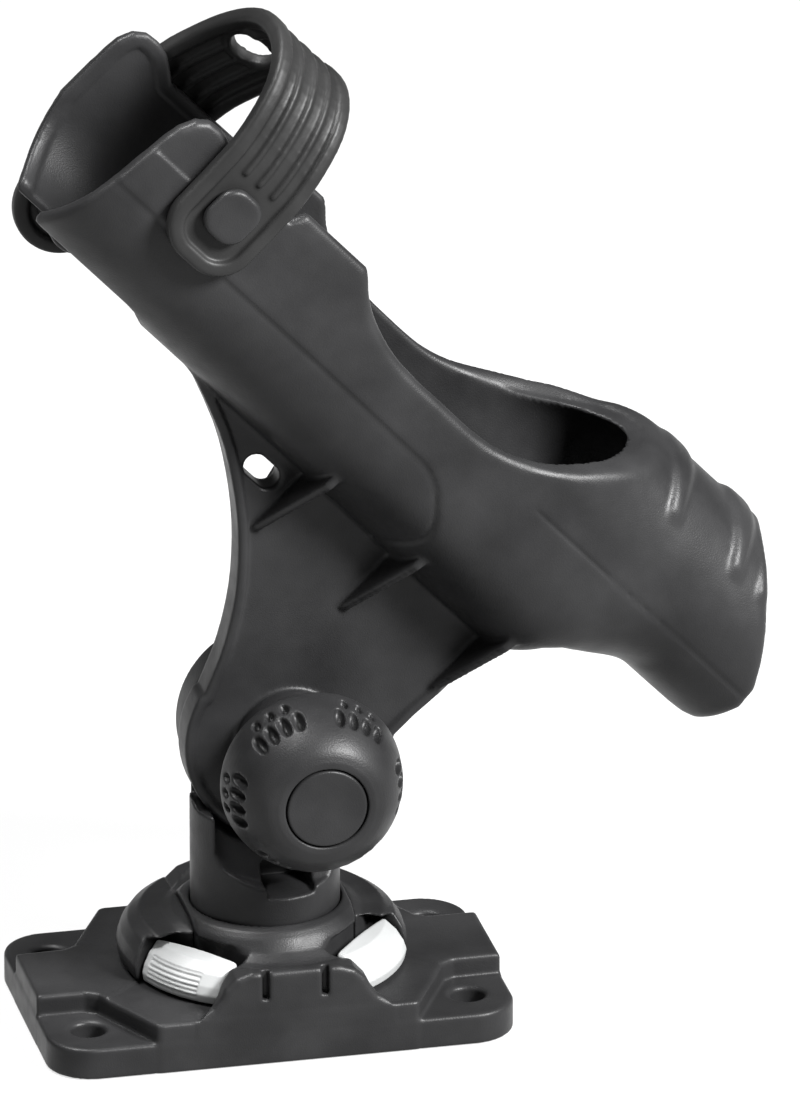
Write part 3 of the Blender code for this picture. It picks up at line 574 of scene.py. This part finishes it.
BUTTON_TURN = math.radians(50)  # each button looks this far off the base's front
BUTTON_SPRING_HEIGHT = 19.5


def button_axes(x, y, side):
    """(out, across) in the frame of a button: side -1 is the left one."""
    turn = side * BUTTON_TURN
    out = x * math.sin(turn) - y * math.cos(turn)
    across = x * math.cos(turn) + y * math.sin(turn)
    return out, across


def window_field(x, y, z, side):
    """The recess that a button slides in, with its arched top."""
    out, across = button_axes(x, y, side)
    arch = 23.4 + 3.2 * np.sqrt(np.maximum(1 - (across / 16.5) ** 2, 0))
    tall = np.maximum(z - arch, 13.8 - z)
    wide = np.maximum(np.maximum(-side * across - 12.4, side * across - 14.6), 23.6 - out)
    return np.maximum(tall, wide)


PLATE_X = -2.0  # the plate's middle, off the post's axis
PLATE = (61.5, 38.0, 12.0)  # half its length, half its width, and its corners' radius
PLATE_TOP = 8.4
DECK_TOP = 14.0
SCREW_HOLE = (50.0, 24.4)  # from the plate's middle
SCREW_HOLE_RADIUS = 4.4
# A quarter of the raised deck in plan.
DECK = [(61.5, 14.0), (48.5, 14.2), (45.5, 16.0), (43.6, 19.6), (34.2, 38.0), (34.2, 44), (-9, 44),
        (-9, -9), (61.5, -9)]
# Half of the bridge seen from the front, in (x, z).
BRIDGE = [(-9, 25.6), (11.5, 25.6), (15.6, 24.2), (18.6, 21.4), (19.8, 18.8), (21.6, 16.4),
          (24.6, 14.8), (30, 13.6), (30, 8), (-9, 8)]
# Half sections of the neck and of the hole through it, in (radius, z).
NECK = [(-9, 30.4), (20.8, 30.4), (22.6, 29.8), (24.2, 28.3), (26.4, 25.4), (29, 23.6), (33, 22.5),
        (33, 8), (-9, 8)]
BASE_BORE = [(0, 40), (19.75, 40), (19.75, 26.2), (19.2, 26.2), (19.2, 5.9), (21.7, 5.9), (21.7, 3.3),
             (28.3, 3.3), (28.3, -5), (0, -5)]


def base_field(x, y, z):
    """The base plate: a low plate, a deck, the bridge and neck, less its windows, bore and holes."""
    plate_x = x - PLATE_X
    plan = rounded_box(plate_x, y, *PLATE)
    pad = soft_max(plan, z - PLATE_TOP, 1.3)
    deck_plan = polygon(DECK, np.abs(plate_x), np.abs(y))
    deck = soft_max(soft_max(plan, deck_plan, 1.2), z - DECK_TOP, 1.4)
    body = soft_min(pad, deck, 0.8)
    bridge = polygon(BRIDGE, np.abs(x), z)
    bridge = soft_max(bridge, plan, 2.0)
    radius = np.hypot(x, y)
    valley = circle(radius - 29.8, z - 28.4, 5.0)
    bridge = soft_max(bridge, -valley, 2.0)
    neck = polygon(NECK, radius, z)
    middle = soft_min(bridge, neck, 1.6)
    room_for_domes = 4.9 * rise(z, 14.5, 16.5) * rise(38 - np.abs(y), 4, 8)
    middle = soft_max(middle, np.abs(x) - 26.0 + room_for_domes, 0.6)
    body = soft_min(body, middle, 0.8)
    for side in (-1, 1):
        body = soft_max(body, -window_field(x, y, z, side), 1.0)
    body = soft_max(body, -polygon(BASE_BORE, radius, z), 0.5)
    hole = circle(np.abs(plate_x) - SCREW_HOLE[0], np.abs(y) - SCREW_HOLE[1], SCREW_HOLE_RADIUS)
    hole = hole - 0.9 * rise(z, 7.4, 8.6)
    body = soft_max(body, -hole, 0.5)
    slit = np.maximum(np.abs(np.abs(x + 0.2) - 7.8) - 0.95, np.maximum(18.0 - z, 35.6 - np.abs(y)))
    body = soft_max(body, -slit, 0.4)
    return soft_max(body, 0.02 - z, 0.8)


def make_base():
    piece = mesh_piece("base_moulding", base_field, (-64, -38, 0), (62, 38, 31), 0.65, BLACK)
    stands_for(piece, "base_plate", "base")


# Half section of a domed side cover, in (radius, z).
DOME = [(0, 28.4), (23.5, 28.4), (26.0, 27.4), (28.4, 27.2), (31.6, 27.2), (34.6, 25.2), (36.6, 22.4),
        (37.6, 19.4), (37.5, 17.2), (36.4, 14.3), (0, 14.3)]
DOME_X = -1.0
DOME_INNER_FACE = 21.25


def cover_field(x, y, z, side):
    """A side cover: part of a dome that is lower at the front, less the button's window."""
    body = polygon(DOME, np.hypot(x - DOME_X, y), z + 2.2 * rise(-y, 4, 20))
    body = soft_max(body, DOME_INNER_FACE - side * x, 0.4)
    body = soft_max(body, -window_field(x, y, z, side), 0.9)
    return soft_max(body, 14.35 - z, 0.5)


def make_side_cover(side, name):
    low, high = ((21, -33, 14), (38, 33, 29)) if side > 0 else ((-38, -33, 14), (-21, 33, 29))
    piece = mesh_piece(
        "dome_" + name, lambda x, y, z: cover_field(x, y, z, side), low, high, 0.6, BLACK
    )
    stands_for(piece, "side_cover_" + name, "base")


# Half section of a release button, in (radius, z).
BUTTON = [(0, 24.6), (27.2, 24.6), (31.2, 23.7), (34.0, 21.7), (36.0, 19.0), (36.8, 16.8),
          (36.4, 14.6), (0, 14.6)]


def button_field(x, y, z, side):
    """A release button with its spring's pocket; the left one has grip lines."""
    out, across = button_axes(x, y, side)
    radius = np.hypot(x, y)
    body = polygon(BUTTON, radius, z)
    if side < 0:
        stripe = np.abs((z - 15.6) % 1.1 - 0.55) - 0.25
        lines = np.maximum(np.maximum(stripe, np.abs(z - 18.6) - 3.0), np.abs(across + 3) - 8.5)
        body = body + 0.3 * (1 - rise(lines, -0.2, 0.2))
    body = soft_max(body, np.maximum(-side * across - 12.0, side * across - 14.2), 1.0)
    body = soft_max(body, 27.0 - out, 0.8)
    pocket = np.maximum(circle(across, z - BUTTON_SPRING_HEIGHT, 3.1), out - 32.0)
    return soft_max(body, -pocket, 0.3)


def make_button(side, name):
    low, high = ((11, -36, 14), (38, -6, 26)) if side > 0 else ((-38, -36, 14), (-11, -6, 26))
    piece = mesh_piece(
        "squeeze_button_" + name, lambda x, y, z: button_field(x, y, z, side), low, high, 0.4, GREY
    )
    stands_for(piece, "release_button_" + name, "button_" + name)


# ---------------------------------------------------------------- post and knob


# What is cut from the post's near side to let the web in, in (radius round the pivot, -y).
SCOOP = [(0, 30), (36.5, 30), (36.0, 13), (29.5, 7), (28.8, -7.2), (0, -7.2)]
POST_RADIUS = 19.4
EAR_RADIUS = 25.6
TEETH = 36


def toothed_ring(pivot_radius, turn, y):
    """The ring of teeth on the ear's face; the turn is counted in teeth."""
    tooth = 1.3 * np.abs(2 * (turn - np.floor(turn)) - 1)
    return np.maximum(np.abs(pivot_radius - 19.3) - 4.7, np.abs(y - 7.5) - 2.2 + tooth)


def spigot_field(x, y, z):
    """The eight-sided end of the post, with a lock groove."""
    eight_sides = np.maximum(
        np.maximum(np.abs(x), np.abs(y)), (np.abs(x) + np.abs(y)) * math.sqrt(0.5)
    )
    spigot = soft_max(eight_sides - 14.8, np.maximum(4.4 - z, z - 30), 0.8)
    groove = np.maximum(np.abs(z - 10.75) - 1.75, 12.6 - np.hypot(x, y))
    return soft_max(spigot, -groove, 0.4)


def post_field(x, y, z):
    """The post with its toothed ear and its spigot."""
    radius = np.hypot(x, y)
    pivot_radius = np.hypot(x - PIVOT[0], z - PIVOT[1])
    body = soft_max(radius - POST_RADIUS, np.maximum(26.6 - z, z - 75), 1.0)
    back = np.minimum(y - 16.6, z - 52)
    body = soft_max(body, back, 0.8)
    scoop = np.maximum(polygon(SCOOP, pivot_radius, -y), np.minimum(-15.4 - x, 58 - z))
    body = soft_max(body, -scoop, 0.8)
    ear = soft_max(pivot_radius - EAR_RADIUS, np.abs(y - 11.9) - 5.1, 1.2)
    body = soft_min(body, ear, 2.5)
    turn = np.arctan2(z - PIVOT[1], x - PIVOT[0]) * TEETH / (2 * math.pi)
    body = np.minimum(body, toothed_ring(pivot_radius, turn, y))
    body = np.minimum(body, spigot_field(x, y, z))
    seal_groove = np.maximum(np.abs(z - 28.3) - 0.9, 18.0 - radius)
    body = soft_max(body, -seal_groove, 0.3)
    window = np.maximum(rounded_box(x - 3.0, z - 40.75, 6.5, 3.25, 1.2), np.abs(y + 14) - 11)
    body = soft_max(body, -window, 0.6)
    body = soft_max(body, BOLT_HOLE - pivot_radius, 0.3)
    spring_seat = np.maximum(pivot_radius - 9.0, y - 10.4)
    return soft_max(body, -spring_seat, 0.3)


def make_post():
    piece = mesh_piece("post_moulding", post_field, (-20, -20, 4), (32, 20, 102), 0.7, BLACK)
    stands_for(piece, "post", "post")


# Half section of the knob, in (radius, -y).
KNOB = (
    [(0, 49.3)]
    + smooth_line([(12.6, 49.1), (15.4, 47.9), (18.2, 45.2), (20.7, 41.4), (22.6, 36.6), (23.5, 31.6),
                   (23.6, 28.6), (22.8, 26.8), (21.6, 26.2)], 3)
    + [(20.0, 26.6), (19.0, 27.4), (12.5, 27.4), (11.6, 15), (0, 15)]
)


DIMPLE_PITCH = math.radians(10.3)
# Each row's count, radius from the axis, place forward, lean in degrees, and half sizes:
# lengthways, sideways and deep.
DIMPLE_ROWS = (
    (4, 21.9, 39.4, 24, (3.5, 1.55, 2.6)),
    (3, 23.5, 33.4, 12, (2.1, 1.2, 2.0)),
)


def dimples(radius, angle, forward):
    """Oval dimples in six groups: four in the front row and three smaller ones behind."""
    turn = (angle + math.pi / 6) % (math.pi / 3) - math.pi / 6
    total = np.inf
    for count, at, ahead, lean, (half_long, half_wide, deep) in DIMPLE_ROWS:
        offset = 0.5 * (count - 1)
        index = np.clip(np.round(turn / DIMPLE_PITCH + offset), 0, count - 1) - offset
        sideways = (turn - index * DIMPLE_PITCH) * radius / half_wide
        cos, sin = math.cos(math.radians(lean)), math.sin(math.radians(lean))
        dr, df = radius - at, forward - ahead
        outward = (dr * cos + df * sin) / deep
        lengthways = (df * cos - dr * sin) / half_long
        distance = (np.sqrt(sideways**2 + outward**2 + lengthways**2) - 1) * half_wide
        total = np.minimum(total, distance)
    return total


def knob_field(x, y, z):
    """The clamp knob: a dimpled dome with a round recess for its cap and a pocket for its nut."""
    radius = np.hypot(x - PIVOT[0], z - PIVOT[1])
    angle = np.arctan2(z - PIVOT[1], x - PIVOT[0])
    body = polygon(KNOB, radius, -y)
    body = soft_max(body, -dimples(radius, angle, -y), 0.2)
    recess = np.maximum(radius - 10.85, 46.0 + y)
    body = soft_max(body, -recess, 0.4)
    slanted_faces = np.abs(z - PIVOT[1]) * math.cos(math.pi / 6) + np.abs(x - PIVOT[0]) / 2
    hexagon = np.maximum(slanted_faces, np.abs(x - PIVOT[0])) - 7.0
    nut_pocket = np.maximum(hexagon, 37.0 + y)
    body = soft_max(body, -nut_pocket, 0.3)
    return soft_max(body, BOLT_HOLE - radius, 0.3)


def cap_field(x, y, z):
    """The knob's slightly crowned round cap."""
    radius = np.hypot(x - PIVOT[0], z - PIVOT[1])
    dome = -y - 49.45 + 0.0022 * radius**2
    return soft_max(soft_max(radius - 10.45, dome, 0.7), 46.3 + y, 0.3)


def make_knob():
    knob = mesh_piece("clamp_knob", knob_field, (-19, -50, 51), (30, -15, 99), 0.5, BLACK)
    stands_for(knob, "knob", "knob")
    cap = mesh_piece("clamp_knob_cap", cap_field, (-5, -50, 64), (17, -46, 86), 0.4, BLACK)
    stands_for(cap, "knob_cap", "knob")


# ---------------------------------------------------------------- carried-over nodes


def finish_node(node, material, edge=0.2 * MM):
    """Gives a small CAD piece its material and softened edges."""
    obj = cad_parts[node]
    obj.data.materials.clear()
    obj.data.materials.append(material)
    bevel = obj.modifiers.new("soft edges", "BEVEL")
    bevel.width = edge
    bevel.segments = 2
    bevel.limit_method = "ANGLE"
    bevel.angle_limit = math.radians(40)
    bevel.harden_normals = True


def finish_small_nodes():
    """Steel for the screws, bolt, washers and springs, and the right material for the rest."""
    for node in ("cover_screw_1", "cover_screw_2", "cover_screw_3", "cover_screw_4", "pivot_bolt",
                 "bolt_washer", "knob_washer"):
        finish_node(node, STEEL)
    for node in ("button_spring_left", "button_spring_right", "separating_spring"):
        finish_node(node, STEEL, 0.02 * MM)
    finish_node("knob_nut", BRASS)
    finish_node("post_seal", RUBBER, 0.02 * MM)
    finish_node("base_cover", BLACK)
    finish_node("swivel_socket", BLACK)


def squeeze_button_springs():
    """Gives each button's spring a mesh of its own."""
    for side, word in ((-1, "left"), (1, "right")):
        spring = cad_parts["button_spring_" + word]
        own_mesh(spring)


# ---------------------------------------------------------------- stage


def aim(obj, target):
    """Turns a light to face a point."""
    direction = Vector(target) - obj.location
    obj.rotation_euler = direction.to_track_quat("-Z", "Y").to_euler()


def area_light(name, location, target, size, power):
    """A soft light; its power is in watts."""
    light = bpy.data.lights.new(name, "AREA")
    light.shape = "RECTANGLE"
    light.size, light.size_y = size
    light.energy = power
    lamp = bpy.data.objects.new(name, light)
    bpy.context.scene.collection.objects.link(lamp)
    lamp.location = location
    aim(lamp, target)


def make_stage():
    """A pale floor that glows a little, a dim white world, a key light and two weaker ones."""
    bpy.ops.mesh.primitive_plane_add(size=12.0, location=(0, 0, -0.0002))
    floor = bpy.context.active_object
    floor.name = "floor"
    tree, shader, material = new_material("pale_floor")
    tint = ramp(tree, noise(tree, 3.0), (0.12, 0.12, 0.12), (0.13, 0.13, 0.13))
    tree.links.new(tint, shader.inputs["Base Color"])
    shader.inputs["Roughness"].default_value = 0.9
    shader.inputs["Specular IOR Level"].default_value = 0.1
    shader.inputs["Emission Color"].default_value = (1.0, 1.0, 1.0, 1.0)
    shader.inputs["Emission Strength"].default_value = 0.72
    floor.data.materials.append(material)
    bpy.context.scene.view_settings.view_transform = "Standard"
    world = bpy.data.worlds.new("studio")
    bpy.context.scene.world = world
    world.use_nodes = True
    background = world.node_tree.nodes["Background"]
    background.inputs["Color"].default_value = (1.0, 1.0, 1.0, 1.0)
    background.inputs["Strength"].default_value = 0.12
    area_light("key", (0.8, -0.85, 1.0), (0.0, 0.0, 0.14), (0.4, 0.4), 108.0)
    area_light("top", (-0.35, 0.1, 1.25), (0.0, 0.0, 0.14), (0.4, 0.4), 36.0)
    area_light("left", (-1.1, -0.7, 0.5), (0.0, 0.0, 0.13), (0.2, 0.7), 1.5)


def make_camera():
    """A long lens a few metres away, in front of the knob and a little above it."""
    right = Vector((0.97508, -0.22190, 0.0))
    up = Vector((0.08592, 0.37752, 0.92200))
    back = Vector((-0.20459, -0.89902, 0.38716))
    data = bpy.data.cameras.new("camera")
    data.sensor_fit = "HORIZONTAL"
    data.sensor_width = 36.0
    data.lens = 720.0
    data.clip_end = 50.0
    camera = bpy.data.objects.new("camera", data)
    bpy.context.scene.collection.objects.link(camera)
    distance, sideways, height = 4148.6, 35.623, 119.244
    nudge = Vector((-0.75, 0, -1.65))
    place = Matrix((right, up, back)).transposed().to_4x4()
    place.translation = (back * distance + right * sideways + up * height + nudge) * MM
    camera.matrix_world = place
    bpy.context.scene.camera = camera


make_holder()
make_strap()
make_base()
for sign, word in ((-1, "left"), (1, "right")):
    make_side_cover(sign, word)
    make_button(sign, word)
make_post()
make_knob()
finish_small_nodes()
squeeze_button_springs()
make_stage()
make_camera()
